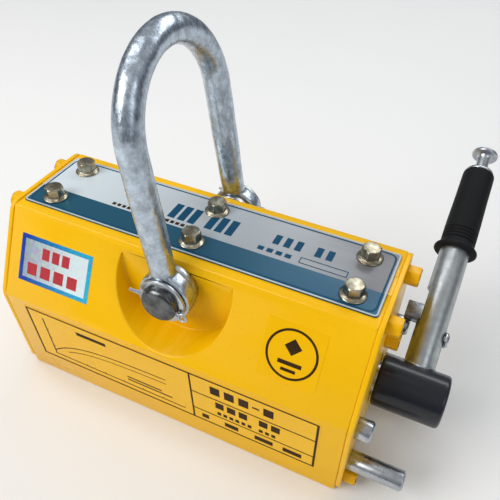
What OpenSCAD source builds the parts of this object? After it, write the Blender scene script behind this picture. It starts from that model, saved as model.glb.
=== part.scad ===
// Hand-switched permanent lifting magnet with a shackle and a latched handle.
// X runs along the body towards the handle, Z is up, and the origin is the middle
// of the body at the plane of the pole faces.

/* [Body] */
// Overall length of the body over both end plates
body_len = 127; // [125.5:0.5:131]
// Widest part of the body, at the crease
body_w = 64; // [63.4:0.1:64.6]
// Width of the pole faces
base_w = 56.8; // [56:0.2:57.6]
// Height of the end plates' top edge
body_h = 70.2; // [70:0.1:70.6]
// Height of the crease above the pole faces
crease_z = 40.9; // [40.3:0.2:41.5]
// Thickness of each end plate
plate_t = 1.6; // [1.4:0.1:2]
// Width of the groove under the body
groove_w = 24; // [20:1:28]
// Depth of the groove
groove_d = 6; // [4:0.5:6.5]

/* [Shackle] */
// Height of the pivot
pivot_z = 61.3; // [61:0.1:61.5]
// Radius of the round pockets beside the pivot
pocket_r = 19.7; // [19.5:0.1:19.9]
// Distance from the middle plane to a leg's centre
leg_y = 23.5; // [23.3:0.1:23.7]
// Diameter of the rod
rod_d = 8.6; // [8:0.1:8.8]
// Length of the straight leg above the pivot
leg_h = 46.1; // [43:0.5:50]
// Lean of the shackle towards the left, in degrees
shackle_lean = 9; // [0:0.5:12]
// Diameter of the pivot pins
pivot_d = 11.6; // [11:0.1:12]

/* [Handle] */
// Height of the rotor's axis
axis_z = 27.9; // [27.7:0.1:28.1]
// Lean of the handle from upright towards the rear, in degrees
handle_lean = 65; // [63.5:0.1:65]
// Diameter of the handle tube
tube_d = 10.4; // [10.2:0.1:10.6]
// Distance from the rotor's axis to the end of the grip
handle_len = 88; // [82:0.2:92]
// Diameter of the hub
hub_d = 17.6; // [17:0.1:18]
// Length of the hub
hub_len = 22.4; // [21.6:0.2:23.2]

/* [Hidden] */

// body section
block_len = body_len - 2 * plate_t;
block_h = body_h - 0.4;             // the plates stand above the block
shoulder_y = 17.6;                  // half width of the flat top
plate_lift = 2.2;                   // the plates stop short of the pole faces
slot_w = 8;                         // gap between the pole blocks
bore_r = 18.5;
pocket_y = 18.8;                    // flat floor of each pocket
pivot_y_in = 10.8;                  // how deep the pivot pins reach into the poles
pivot_y_out = 30.5;

// rotor
disc_t = 6;
bush_r = 8;
shaft_r = 6;
rotor_r = 18.1;
core_r = 13;
sleeve_t = 0.5;
pole_half = 35;                     // half angle of each steel pole of the rotor
rotor_gap = 0.4;                    // end play of the rotor in the bore
rotor_len = block_len - 2 * disc_t - 2 * rotor_gap;

// handle, in the handle's own frame: X along the rotor's axis, Z along the tube
hub_x = body_len / 2 + 0.6;
tube_x = 75.6;
tube_in_r = 3.9;
stub_end = 22.6;                    // top of the hub's stub inside the tube
key_in = 23.9;                      // inner end of the latch key
key_len = 5.8;
key_w = 5.2;
key_x = 65.9;                       // side of the key that faces the body
slot_end = 37;
flange_z = 53;
cap_h = 2.4;
knob_z = handle_len + 8.6;
rod_r = 1.6;                        // the knob's rod inside the tube

// end plate pins and bolts
latch_pin_y = 23.6;
latch_pin_z = 32;
stop_pin_y = 22.3;
stop_pin_z = 11.5;
pin_r = 3.4;
bolt_spots = [[-11.4, 66], [11.4, 66], [0, 48.3], [-23.4, 4.6], [23.4, 4.6]];
plate_bolt_af = 5.5;
plate_bolt_h = 4.2;
name_w = 28.8;
name_t = 0.5;
name_len = 121.5;
name_bolt_x = 52;
name_bolt_y = 8.7;

// latch spring
spring_from = key_in + key_len + 0.1;
spring_to = handle_len - 3.1;
spring_turns = 22;

yellow = "#f0b400";
zinc = "#b9bdc0";
black = "#1c1e22";

// Outline of the body's section: y across, z up, as [y, z] points.
function body_outline(lift, top) =
    let (low_y = base_w / 2 + (body_w - base_w) / 2 * lift / crease_z)
    [
        [-low_y, lift], [-body_w / 2, crease_z], [-shoulder_y, top],
        [shoulder_y, top], [body_w / 2, crease_z], [low_y, lift],
    ];

// Stretches a flat [y, z] shape along X, from x to x + len.
module along_x(x, len) {
    translate([x, 0, 0])
        rotate([90, 0, 90])
            linear_extrude(height = len) children();
}

// A round bar along X.
module x_bar(x, y, z, r, len) {
    translate([x, y, z])
        rotate([0, 90, 0])
            cylinder(h = len, r = r, $fn = 64);
}

// A round bar along Y, from y to y + len, at height z.
module y_bar(y, z, r, len) {
    translate([0, y, z])
        rotate([-90, 0, 0])
            cylinder(h = len, r = r, $fn = 96);
}

// A round pin along X with a chamfered tip.
module tipped_pin(y, z, r, len) {
    translate([body_len / 2, y, z])
        rotate([0, 90, 0])
            rotate_extrude($fn = 64)
                polygon([[0, 0], [r, 0], [r, len - 0.6], [r - 0.6, len], [0, len]]);
}

// Hexagon head standing on z = 0, with its corners turned off at the top.
module hex_head(af, h) {
    corner = af / sqrt(3);
    intersection() {
        cylinder(h = h, r = corner, $fn = 6);
        rotate_extrude($fn = 48)
            polygon([[0, 0], [corner + 0.1, 0], [corner + 0.1, h - 0.5],
                [af / 2 - 0.1, h], [0, h]]);
    }
}

// Moves a child from the handle's own frame to its place on the body.
module on_handle() {
    translate([0, 0, axis_z])
        rotate([-handle_lean, 0, 0]) children();
}

// Moves a child from the upright shackle's frame to its leaning place.
module on_shackle() {
    translate([0, 0, pivot_z])
        rotate([0, -shackle_lean, 0]) children();
}

// Both halves of the groove under the body.
module groove_outline() {
    polygon([[-groove_w / 2, -1], [-groove_w / 2, 0], [0, groove_d],
        [groove_w / 2, 0], [groove_w / 2, -1]]);
}

module pole_block() {
    difference() {
        along_x(-block_len / 2, block_len) difference() {
            intersection() {
                polygon(body_outline(0, block_h));
                translate([-body_w, 0]) square([body_w - slot_w / 2, body_h]);
            }
            groove_outline();
            translate([0, axis_z]) circle(r = bore_r, $fn = 120);
        }
        y_bar(-body_w, pivot_z, pocket_r, body_w - pocket_y);
        y_bar(-pocket_y - 1, pivot_z, pivot_d / 2, pocket_y + 1 - pivot_y_in);
        for (x = [-name_bolt_x, 0, name_bolt_x])
            translate([x, -name_bolt_y, block_h - 6]) cylinder(h = 7, r = 1.5, $fn = 32);
        for (spot = bolt_spots, side = [-1, 1])
            if (spot[0] < -slot_w / 2)
                x_bar(side * block_len / 2 - 7, spot[0], spot[1], 1.6, 14);
    }
}

module pole_front() {
    color(yellow) pole_block();
}

module pole_rear() {
    color(yellow) mirror([0, 1, 0]) pole_block();
}

module fixed_magnet() {
    bottom = axis_z + bore_r + 0.3;
    color("#4a4d52")
        translate([-block_len / 2 + 8, -slot_w / 2, bottom])
            cube([block_len - 16, slot_w, block_h - 3 - bottom]);
}

// A strip under the nameplate, with a leg at each end that closes the magnet's slot.
module top_spacer() {
    leg = 7.8;
    color("#c9cacb") difference() {
        translate([-block_len / 2, -slot_w / 2, axis_z])
            cube([block_len, slot_w, block_h - axis_z]);
        translate([-block_len / 2 + leg, -slot_w, axis_z - 1])
            cube([block_len - 2 * leg, 2 * slot_w, block_h - 2 - axis_z]);
        x_bar(-block_len, 0, axis_z, bore_r, 2 * block_len);
        for (side = [-1, 1])
            x_bar(side * block_len / 2 - 5, 0, bolt_spots[2][1], 1.6, 10);
    }
}

module bottom_spacer() {
    color("#c9a24a") along_x(-block_len / 2, block_len) difference() {
        translate([-slot_w / 2, 0]) square([slot_w, axis_z]);
        groove_outline();
        translate([0, axis_z]) circle(r = bore_r, $fn = 120);
    }
}

// One end plate, its inner face at x = 0 and its outer face at x = plate_t.
module end_plate(shaft_hole) {
    difference() {
        along_x(0, plate_t) difference() {
            polygon(body_outline(plate_lift, body_h));
            groove_outline();
        }
        if (shaft_hole > 0)
            x_bar(-1, 0, axis_z, shaft_hole, plate_t + 2);
        for (spot = bolt_spots)
            x_bar(-1, spot[0], spot[1], 1.6, plate_t + 2);
    }
}

module end_plate_left() {
    color(yellow)
        translate([-block_len / 2, 0, 0]) mirror([1, 0, 0]) end_plate(0);
}

module end_plate_right() {
    color(yellow)
        translate([block_len / 2, 0, 0]) difference() {
            end_plate(bush_r);
            for (side = [-1, 1]) {
                x_bar(-1, side * latch_pin_y, latch_pin_z, pin_r - 1, plate_t + 2);
                x_bar(-1, side * stop_pin_y, stop_pin_z, pin_r - 1, plate_t + 2);
            }
        }
}

// Disc that fills the end of the bore and holds a bush.
module bearing_disc() {
    difference() {
        x_bar(0, 0, axis_z, bore_r - 0.02, disc_t);
        x_bar(-1, 0, axis_z, bush_r, disc_t + 2);
    }
}

module bearing_disc_left() {
    color("#a9acb0") translate([-block_len / 2, 0, 0]) bearing_disc();
}

module bearing_disc_right() {
    color("#a9acb0") translate([block_len / 2 - disc_t, 0, 0]) bearing_disc();
}

module bush(len) {
    difference() {
        x_bar(0, 0, axis_z, bush_r, len);
        x_bar(-1, 0, axis_z, shaft_r + 0.04, len + 2);
    }
}

module bush_left() {
    color("#b5823a") translate([-block_len / 2, 0, 0]) bush(disc_t);
}

module bush_right() {
    color("#b5823a") translate([block_len / 2 - disc_t, 0, 0]) bush(disc_t + plate_t);
}

// Five bolts through an end plate that ends at x = 0, heads towards +X.
module plate_bolts() {
    for (spot = bolt_spots) translate([0, spot[0], spot[1]]) rotate([0, 90, 0]) {
        rotate([0, 0, 90]) hex_head(plate_bolt_af, plate_bolt_h);
        translate([0, 0, -plate_t - 5]) cylinder(h = plate_t + 5, r = 1.6, $fn = 32);
    }
}

module plate_bolts_right() {
    color(yellow) translate([body_len / 2, 0, 0]) plate_bolts();
}

module plate_bolts_left() {
    color(yellow) mirror([1, 0, 0]) translate([body_len / 2, 0, 0]) plate_bolts();
}

module nameplate() {
    corner = 2.2;
    color("#9fb3c8") difference() {
        translate([0, 0, block_h]) linear_extrude(height = name_t)
            union() {
                square([name_len - 2 * corner, name_w], center = true);
                square([name_len, name_w - 2 * corner], center = true);
                for (x = [-1, 1], y = [-1, 1])
                    translate([x * (name_len / 2 - corner), y * (name_w / 2 - corner)])
                        circle(r = corner, $fn = 32);
            }
        for (x = [-name_bolt_x, 0, name_bolt_x], y = [-name_bolt_y, name_bolt_y])
            translate([x, y, block_h - 1]) cylinder(h = 3, r = 1.5, $fn = 32);
    }
}

module nameplate_bolts() {
    flange_r = 4.1;
    color("#bfb58a")
        for (x = [-name_bolt_x, 0, name_bolt_x], y = [-name_bolt_y, name_bolt_y])
            translate([x, y, block_h + name_t]) {
                rotate([0, 0, x + 4 * y]) union() {
                    rotate_extrude($fn = 48)
                        polygon([[0, 0], [flange_r, 0], [flange_r, 0.35],
                            [2.9, 0.95], [0, 0.95]]);
                    translate([0, 0, 0.6]) hex_head(5.5, 3.5);
                }
                translate([0, 0, -6]) cylinder(h = 6, r = 1.5, $fn = 32);
            }
}

module latch_pins() {
    color(zinc) for (side = [-1, 1]) {
        tipped_pin(side * latch_pin_y, latch_pin_z, pin_r, 5);
        x_bar(body_len / 2 - plate_t, side * latch_pin_y, latch_pin_z, pin_r - 1, plate_t);
    }
}

module stop_pins() {
    color(zinc) for (side = [-1, 1]) {
        tipped_pin(side * stop_pin_y, stop_pin_z, pin_r, 18.3);
        x_bar(body_len / 2 - plate_t, side * stop_pin_y, stop_pin_z, pin_r - 1, plate_t);
    }
}

// A thin label on the front shoulder: x and up are its middle, up along the slope.
module shoulder_label(x, up, w, h, t) {
    slope = atan2(body_w / 2 - shoulder_y, block_h - crease_z);
    translate([x, -body_w / 2, crease_z])
        rotate([90 - slope, 0, 0])
            translate([-w / 2, up - h / 2, 0]) cube([w, h, t]);
}

// The same on the wall below the crease, down along the wall.
module wall_label(x, down, w, h, t) {
    slope = atan2((body_w - base_w) / 2, crease_z);
    translate([x, -body_w / 2, crease_z])
        rotate([90 + slope, 0, 0])
            translate([-w / 2, -down - h / 2, 0]) cube([w, h, t]);
}

module foil_sticker() {
    color("#cfd6dc") shoulder_label(-43, 15.6, 28.2, 16.6, 0.12);
}

module load_label() {
    color(yellow) wall_label(-0.2, 16.8, 109.2, 28.4, 0.1);
}

module pictogram_label() {
    color(yellow) shoulder_label(40.9, 16.2, 18.4, 18.4, 0.1);
}

module pivot_pins() {
    chamfer = 0.7;
    r = pivot_d / 2;
    len = pivot_y_out - pivot_y_in;
    color(zinc) for (side = [0, 1]) mirror([0, side, 0]) difference() {
        translate([0, -pivot_y_in, pivot_z]) rotate([90, 0, 0])
            rotate_extrude($fn = 96)
                polygon([[0, 0], [r, 0], [r, len - chamfer], [r - chamfer, len], [0, len]]);
        on_split_pin() translate([0, 0, -10]) cylinder(h = 20, r = 0.95, $fn = 32);
    }
}

module spacer_collars() {
    color(zinc) for (side = [0, 1]) mirror([0, side, 0]) difference() {
        y_bar(-21, pivot_z, 7.7, 21 - pocket_y);
        y_bar(-22, pivot_z, pivot_d / 2, 8);
    }
}

module pivot_washers() {
    color(zinc) for (side = [0, 1]) mirror([0, side, 0]) difference() {
        y_bar(-28, pivot_z, 7.7, 1.1);
        y_bar(-29, pivot_z, pivot_d / 2, 3);
    }
}

// Moves a child from a split pin's own frame, eye up, to the front pivot pin.
module on_split_pin() {
    translate([0, -29, pivot_z]) rotate([0, 107, 0]) children();
}

module split_pin() {
    wire_r = 0.95;
    union() {
        translate([0, 0, -6.6]) cylinder(h = 13.4, r = wire_r, $fn = 32);
        translate([0, 0, 8]) rotate([90, 0, 0])
            rotate_extrude($fn = 40) translate([1.3, 0]) circle(r = 0.6, $fn = 20);
        for (leg = [[-5, 4], [-18, 3.4]])
            translate([0, 0, -6.2]) rotate([leg[0], 0, 0])
                translate([0, 0, -leg[1]]) cylinder(h = leg[1], r = 0.6, $fn = 24);
    }
}

module split_pins() {
    color("#c8cacc") for (side = [0, 1]) mirror([0, side, 0]) on_split_pin() split_pin();
}

module shackle() {
    eye_r = 8.8;
    eye_in = 21.1;
    eye_out = 26.8;
    color(zinc) on_shackle() difference() {
        union() {
            for (side = [-1, 1]) translate([0, side * leg_y, 8.1])
                cylinder(h = leg_h - 8.1, r1 = rod_d / 2 - 0.3, r2 = rod_d / 2, $fn = 48);
            translate([0, 0, leg_h]) rotate([0, -90, 0])
                rotate([0, 0, -90]) rotate_extrude(angle = 180, $fn = 120)
                    translate([leg_y, 0]) circle(r = rod_d / 2, $fn = 48);
            y_bar(-eye_out, 0, eye_r, eye_out - eye_in);
            y_bar(eye_in, 0, eye_r, eye_out - eye_in);
        }
        for (side = [-1, 1])
            y_bar(side * leg_y - 8, 0, pivot_d / 2 + 0.06, 16);
    }
}

// Flat-sided wedge of the rotor's section, on one side of its axis.
module wedge(half) {
    polygon([[0, 0], [40 * cos(half), -40 * sin(half)], [40 * cos(half), 40 * sin(half)]]);
}

// The core is round, with both flanks cut back to a smaller radius for the magnets.
module rotor_core() {
    color("#8f9296") along_x(-rotor_len / 2, rotor_len) translate([0, axis_z])
        difference() {
            union() {
                circle(r = core_r, $fn = 120);
                for (turn = [90, 270]) rotate([0, 0, turn]) intersection() {
                    circle(r = rotor_r - sleeve_t, $fn = 120);
                    wedge(pole_half);
                }
            }
            circle(r = shaft_r, $fn = 120);
        }
}

module rotor_magnets() {
    color("#55585d") along_x(-rotor_len / 2, rotor_len) translate([0, axis_z])
        for (turn = [0, 180]) rotate([0, 0, turn]) intersection() {
            difference() {
                circle(r = rotor_r - sleeve_t, $fn = 120);
                circle(r = core_r, $fn = 120);
            }
            wedge(90 - pole_half - 0.3);
        }
}

module rotor_sleeve() {
    color("#b4b8bb") difference() {
        x_bar(-rotor_len / 2, 0, axis_z, rotor_r, rotor_len);
        x_bar(-rotor_len, 0, axis_z, rotor_r - sleeve_t, 2 * rotor_len);
    }
}

module rotor_shaft() {
    color("#a2a6aa")
        x_bar(-block_len / 2 + 0.5, 0, axis_z, shaft_r, hub_x + 10 + block_len / 2 - 0.5);
}

module hub() {
    edge = 1;
    r = hub_d / 2;
    color(black) difference() {
        union() {
            translate([hub_x, 0, axis_z]) rotate([0, 90, 0]) rotate_extrude($fn = 96)
                polygon([[0, 0], [r - edge, 0], [r, edge], [r, hub_len - edge],
                    [r - edge, hub_len], [0, hub_len]]);
            on_handle() translate([tube_x, 0, 0])
                cylinder(h = stub_end, r = tube_in_r, $fn = 48);
        }
        x_bar(hub_x - 1, 0, axis_z, shaft_r, 11);
        on_handle() x_bar(tube_x - tube_d, 0, 20.4, 1.5, 2 * tube_d);
    }
}

// Slot in the tube's inner side that the latch key slides in.
module key_slot(from, to, w) {
    translate([tube_x - tube_d, -w / 2, from]) cube([tube_d, w, to - from]);
}

module handle_tube() {
    color(zinc) difference() {
        on_handle() difference() {
            translate([tube_x, 0, 0]) cylinder(h = handle_len, r = tube_d / 2, $fn = 64);
            translate([tube_x, 0, -1])
                cylinder(h = handle_len + 2, r = tube_in_r, $fn = 64);
            key_slot(key_in - 0.3, slot_end, key_w + 0.4);
            x_bar(tube_x - tube_d, 0, 20.4, 1.5, 2 * tube_d);
        }
        x_bar(hub_x - 1, 0, axis_z, hub_d / 2, hub_len + 2);
    }
}

module cross_screw() {
    color(zinc) on_handle() {
        x_bar(tube_x - tube_d / 2, 0, 20.4, 1.5, tube_d);
        translate([tube_x + tube_d / 2, 0, 20.4]) rotate([0, 90, 0])
            rotate_extrude($fn = 48)
                polygon([[0, 0], [2.7, 0], [2.7, 0.7], [2.1, 1.4], [0, 1.4]]);
    }
}

module grip() {
    top = handle_len;
    color("#202124") on_handle() translate([tube_x, 0, 0]) rotate_extrude($fn = 96)
        polygon([
            [tube_d / 2, flange_z], [7.1, flange_z], [7.6, flange_z + 0.5],
            [7.6, flange_z + 1.3], [7.1, flange_z + 1.8], [6.4, flange_z + 2.1],
            [6.1, flange_z + 4], [6.05, flange_z + 12], [5.8, flange_z + 24],
            [5.7, top - 4], [5.6, top - 0.5], [tube_d / 2, top],
        ]);
}

module end_cap() {
    color(zinc) on_handle() translate([tube_x, 0, 0]) rotate_extrude($fn = 64)
        polygon([
            [rod_r + 0.07, handle_len - 3], [tube_in_r, handle_len - 3], [tube_in_r, handle_len],
            [5.3, handle_len], [5.2, handle_len + 0.9], [4.5, handle_len + 1.7],
            [3.4, handle_len + cap_h],
            [rod_r + 0.07, handle_len + cap_h],
        ]);
}

// The rod runs in the end cap, and the thicker stem rests on the cap.
module pull_knob() {
    stem_r = 2.25;
    stem_z = handle_len + cap_h + 0.1;
    color(zinc) on_handle() translate([tube_x, 0, 0]) rotate_extrude($fn = 64)
        polygon([
            [0, key_in + key_len], [rod_r, key_in + key_len], [rod_r, stem_z],
            [stem_r, stem_z], [stem_r, knob_z - 1.2], [2.8, knob_z - 0.2],
            [4.4, knob_z], [4.75, knob_z + 0.4], [4.75, knob_z + 1.2],
            [4.3, knob_z + 1.7], [3.2, knob_z + 2.2], [1.6, knob_z + 2.5], [0, knob_z + 2.6],
        ]);
}

module latch_key() {
    color("#9a9da0") on_handle() union() {
        translate([key_x, -key_w / 2, key_in]) cube([tube_x - key_x, key_w, key_len]);
        translate([tube_x, 0, key_in]) cylinder(h = key_len, r = tube_in_r - 0.1, $fn = 48);
    }
}

// One wire ring a turn: the coil is drawn as a stack of touching turns.
module latch_spring() {
    wire_r = 0.45;
    coil_r = 2.7;
    pitch = (spring_to - spring_from - 2 * wire_r) / spring_turns;
    color("#8e9296") on_handle() translate([tube_x, 0, spring_from]) difference() {
        cylinder(h = spring_to - spring_from, r = coil_r + wire_r, $fn = 48);
        translate([0, 0, -1])
            cylinder(h = spring_to, r = coil_r - wire_r, $fn = 48);
        for (i = [0 : spring_turns - 1])
            translate([0, 0, wire_r * 2 + i * pitch]) difference() {
                cylinder(h = pitch - 2 * wire_r, r = coil_r + 1, $fn = 48);
                translate([0, 0, -1])
                    cylinder(h = pitch + 2, r = coil_r - wire_r + 0.3, $fn = 48);
            }
    }
}

pole_front();
pole_rear();
fixed_magnet();
top_spacer();
bottom_spacer();
end_plate_left();
end_plate_right();
bearing_disc_left();
bearing_disc_right();
bush_left();
bush_right();
plate_bolts_left();
plate_bolts_right();
nameplate();
nameplate_bolts();
latch_pins();
stop_pins();
foil_sticker();
load_label();
pictogram_label();
pivot_pins();
spacer_collars();
pivot_washers();
split_pins();
shackle();
rotor_core();
rotor_magnets();
rotor_sleeve();
rotor_shaft();
hub();
handle_tube();
cross_screw();
grip();
end_cap();
pull_knob();
latch_key();
latch_spring();
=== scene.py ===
import math

import bmesh
import bpy
from mathutils import Matrix, Vector


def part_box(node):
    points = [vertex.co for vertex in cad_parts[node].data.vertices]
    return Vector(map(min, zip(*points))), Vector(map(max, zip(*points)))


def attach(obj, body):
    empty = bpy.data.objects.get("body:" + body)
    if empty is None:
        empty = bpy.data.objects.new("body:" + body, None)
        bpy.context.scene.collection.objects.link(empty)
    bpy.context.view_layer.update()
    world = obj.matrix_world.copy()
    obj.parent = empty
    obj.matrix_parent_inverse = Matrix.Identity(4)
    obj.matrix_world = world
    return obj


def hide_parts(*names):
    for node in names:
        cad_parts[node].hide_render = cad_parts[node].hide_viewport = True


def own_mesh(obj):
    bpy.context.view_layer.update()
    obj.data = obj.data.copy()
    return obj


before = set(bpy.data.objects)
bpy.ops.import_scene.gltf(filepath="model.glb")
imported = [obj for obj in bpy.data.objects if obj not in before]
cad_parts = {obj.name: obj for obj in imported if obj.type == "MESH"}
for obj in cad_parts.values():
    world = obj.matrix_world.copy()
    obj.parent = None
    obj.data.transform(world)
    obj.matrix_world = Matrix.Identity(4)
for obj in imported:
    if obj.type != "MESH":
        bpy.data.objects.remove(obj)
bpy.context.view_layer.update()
scene = bpy.context.scene
mm = 0.001
mergeGap = 0.002 * mm
print("frame loaded,", len(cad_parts), "nodes")

# the body's section and the handle's place, in mm, as the frame has them
bodyShape = {"topZ": 69.8, "creaseY": 32.0, "creaseZ": 40.9, "shoulderY": 17.6, "baseY": 28.4,
             "grooveY": 12.0, "grooveZ": 6.0, "length": 127.0, "bushR": 8.0}
handleShape = {"axisZ": 27.9, "lean": 65.0, "tubeX": 75.6, "length": 88.0}
onHandle = (Matrix.Translation((0, 0, handleShape["axisZ"] * mm))
            @ Matrix.Rotation(-math.radians(handleShape["lean"]), 4, "X"))
onTube = onHandle @ Matrix.Translation((handleShape["tubeX"] * mm, 0, 0))

# camera
view = {"position": (70.80, -126.71, 186.06), "azimuth": 23.379, "elevation": 40.986,
        "roll": 2.087, "lens": 41.637}
azimuth, elevation, roll = (math.radians(view[key]) for key in ("azimuth", "elevation", "roll"))
back = Vector((math.sin(azimuth) * math.cos(elevation),
               -math.cos(azimuth) * math.cos(elevation), math.sin(elevation)))
right = (-back).cross(Vector((0, 0, 1))).normalized()
up = right.cross(-back)
turnedRight = math.cos(roll) * right + math.sin(roll) * up
turnedUp = -math.sin(roll) * right + math.cos(roll) * up
cameraData = bpy.data.cameras.new("camera")
cameraData.sensor_width = 36
cameraData.lens = view["lens"]
cameraData.clip_start = 0.01
camera = bpy.data.objects.new("camera", cameraData)
cameraPlace = Matrix((turnedRight, turnedUp, back)).transposed().to_4x4()
cameraPlace.translation = Vector(view["position"]) * mm
camera.matrix_world = cameraPlace
scene.collection.objects.link(camera)
scene.camera = camera
scene.view_settings.view_transform = "Standard"

# soft boxes: azimuth from the front, elevation, distance in m, width, height, watts, colour
softBoxes = {
    "keyBox": (-40, 38, 0.95, 0.6, 0.45, 5.6, (1.0, 0.975, 0.94)),
    "fillBox": (60, 34, 0.95, 0.35, 0.5, 0.9, (0.93, 0.97, 1.0)),
    "rearBox": (165, 42, 0.9, 0.8, 0.2, 2.2, (0.95, 0.98, 1.0)),
    "topStrip": (-95, 66, 0.8, 0.14, 0.7, 1.2, (1.0, 1.0, 1.0)),
}
aim = Vector((0, 0, 0.05))
for name, (boxAzimuth, boxElevation, distance, width, height, watts, colour) in softBoxes.items():
    light = bpy.data.lights.new(name, "AREA")
    light.shape = "RECTANGLE"
    light.size, light.size_y, light.energy, light.color = width, height, watts, colour
    boxAzimuth, boxElevation = math.radians(boxAzimuth), math.radians(boxElevation)
    towards = Vector((math.sin(boxAzimuth) * math.cos(boxElevation),
                      -math.cos(boxAzimuth) * math.cos(boxElevation), math.sin(boxElevation)))
    softBox = bpy.data.objects.new(name, light)
    softBox.matrix_world = (Matrix.Translation(aim + towards * distance)
                            @ towards.to_track_quat("Z", "Y").to_matrix().to_4x4())
    scene.collection.objects.link(softBox)

# room: dark walls and a pale ceiling light the object, and a plain wall shows behind it
room = {"walls": (0.14, 0.165, 0.21, 1), "wallsTo": 0.02, "ceiling": (0.78, 0.79, 0.8, 1),
        "ceilingFrom": 0.75, "strength": 0.62, "backdrop": (0.86, 0.87, 0.88, 1)}
world = bpy.data.worlds.new("studio")
scene.world = world
world.use_nodes = True
worldNodes, worldLinks = world.node_tree.nodes, world.node_tree.links
worldNodes.clear()
skyPlace = worldNodes.new("ShaderNodeTexCoord")
skyPlace.label = "direction in the room"
skyParts = worldNodes.new("ShaderNodeSeparateXYZ")
skyParts.label = "height of the direction"
skyShade = worldNodes.new("ShaderNodeValToRGB")
skyShade.label = "dark walls, pale ceiling"
skyLight = worldNodes.new("ShaderNodeBackground")
skyLight.label = "room light"
paleWall = worldNodes.new("ShaderNodeBackground")
paleWall.label = "plain pale wall behind"
seen = worldNodes.new("ShaderNodeLightPath")
seen.label = "seen directly"
wallOrRoom = worldNodes.new("ShaderNodeMixShader")
wallOrRoom.label = "wall is seen, room lights"
skyOut = worldNodes.new("ShaderNodeOutputWorld")
skyOut.label = "world"
for index, node in enumerate((skyPlace, skyParts, skyShade, skyLight, paleWall, seen, wallOrRoom,
                              skyOut)):
    node.location = (index * 220, 0)
skyShade.color_ramp.elements[0].position = room["wallsTo"]
skyShade.color_ramp.elements[0].color = room["walls"]
skyShade.color_ramp.elements[1].position = room["ceilingFrom"]
skyShade.color_ramp.elements[1].color = room["ceiling"]
skyLight.inputs["Strength"].default_value = room["strength"]
worldLinks.new(skyPlace.outputs["Generated"], skyParts.inputs["Vector"])
worldLinks.new(skyParts.outputs["Z"], skyShade.inputs["Fac"])
worldLinks.new(skyShade.outputs["Color"], skyLight.inputs["Color"])
paleWall.inputs["Color"].default_value = room["backdrop"]
worldLinks.new(seen.outputs["Is Camera Ray"], wallOrRoom.inputs["Fac"])
worldLinks.new(skyLight.outputs["Background"], wallOrRoom.inputs[1])
worldLinks.new(paleWall.outputs["Background"], wallOrRoom.inputs[2])
worldLinks.new(wallOrRoom.outputs["Shader"], skyOut.inputs["Surface"])
print("camera and light set")


# materials
def startMaterial(name):
    material = bpy.data.materials.new(name)
    material.use_nodes = True
    material.node_tree.nodes.clear()
    return material, material.node_tree.nodes, material.node_tree.links


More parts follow.
